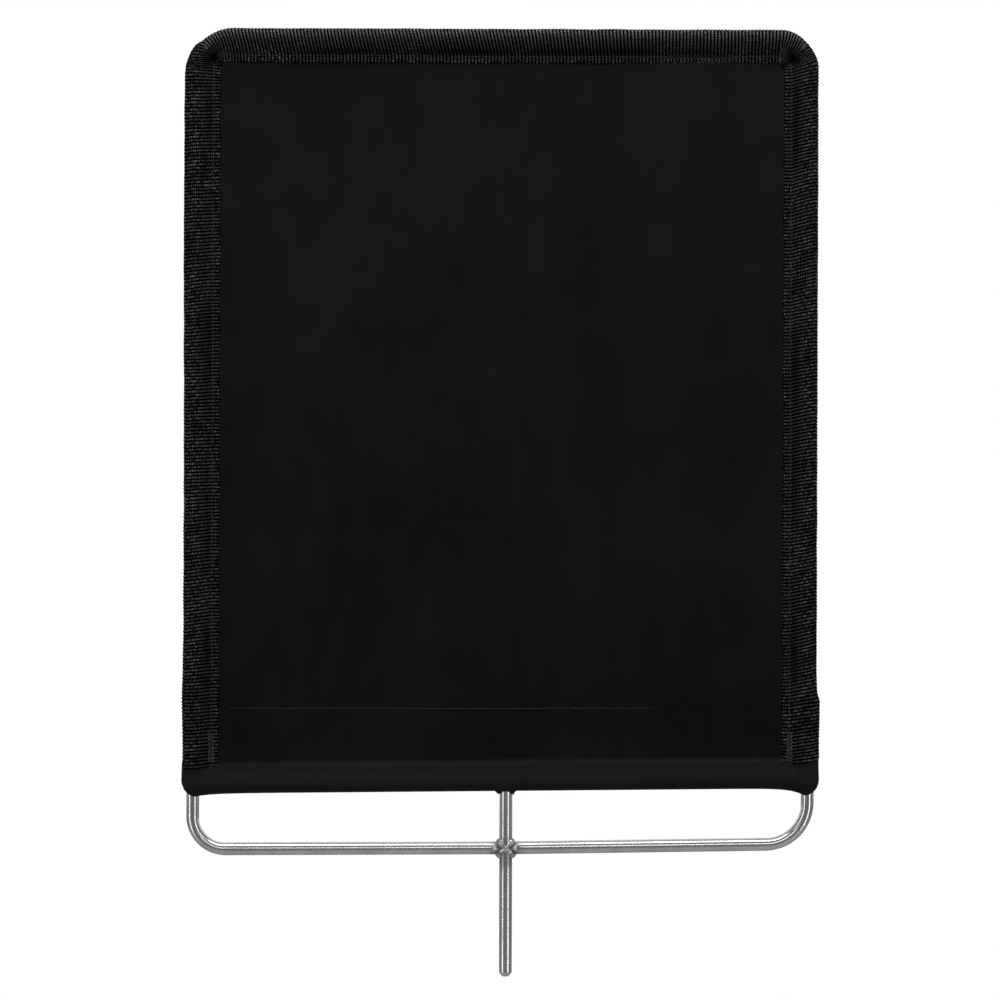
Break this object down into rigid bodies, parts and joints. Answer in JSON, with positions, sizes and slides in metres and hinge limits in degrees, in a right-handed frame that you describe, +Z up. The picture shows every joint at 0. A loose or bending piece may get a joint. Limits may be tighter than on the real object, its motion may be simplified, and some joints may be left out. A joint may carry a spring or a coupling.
{
  "type": "light control flag",
  "caption": "Solid light-blocking flag: opaque black cloth sewn with ribbed webbing edges onto a bent steel rod frame, held by a straight steel pin.",
  "frame": {"origin": "centre of the flat face at the pin's lower end", "axes": "+Z up along the pin towards the frame's top, +Y from the front of the cloth to its back, +X to the right seen from the front"},
  "size_m": [0.4682, 0.0146, 0.7016],
  "materials": {
    "rod_steel": "bare drawn steel rod, satin, with lines along the rod and a faint dark film",
    "weld_steel": "bare fillet weld, lumpy, slightly heat-darkened",
    "black_cloth": "matt black napped cotton, light-absorbing, with faint cloudy nap marks",
    "black_webbing": "black ribbed woven webbing, ribs across its length, a slight sheen on the yarns",
    "black_thread": "black twisted sewing thread with a slight sheen"
  },
  "bodies": {
    "root": {"frame_rod": "rod_steel", "crossbar": "rod_steel", "mounting_pin": "rod_steel", "weld_rail_left": "weld_steel", "weld_rail_right": "weld_steel", "weld_crossbar_left": "weld_steel", "weld_crossbar_right": "weld_steel", "weld_pin_crossbar": "weld_steel", "cloth_panel": "black_cloth", "webbing_left": "black_webbing", "webbing_top": "black_webbing", "webbing_right": "black_webbing", "thread_left_front": "black_thread", "thread_left_back": "black_thread", "thread_top_front": "black_thread", "thread_top_back": "black_thread", "thread_right_front": "black_thread", "thread_right_back": "black_thread", "bar_tack_left_front": "black_thread", "bar_tack_left_back": "black_thread", "bar_tack_right_front": "black_thread", "bar_tack_right_back": "black_thread", "thread_hem_upper_front": "black_thread", "thread_hem_upper_back": "black_thread", "thread_hem_lower_front": "black_thread", "thread_hem_lower_back": "black_thread"}
  },
  "joints": []
}
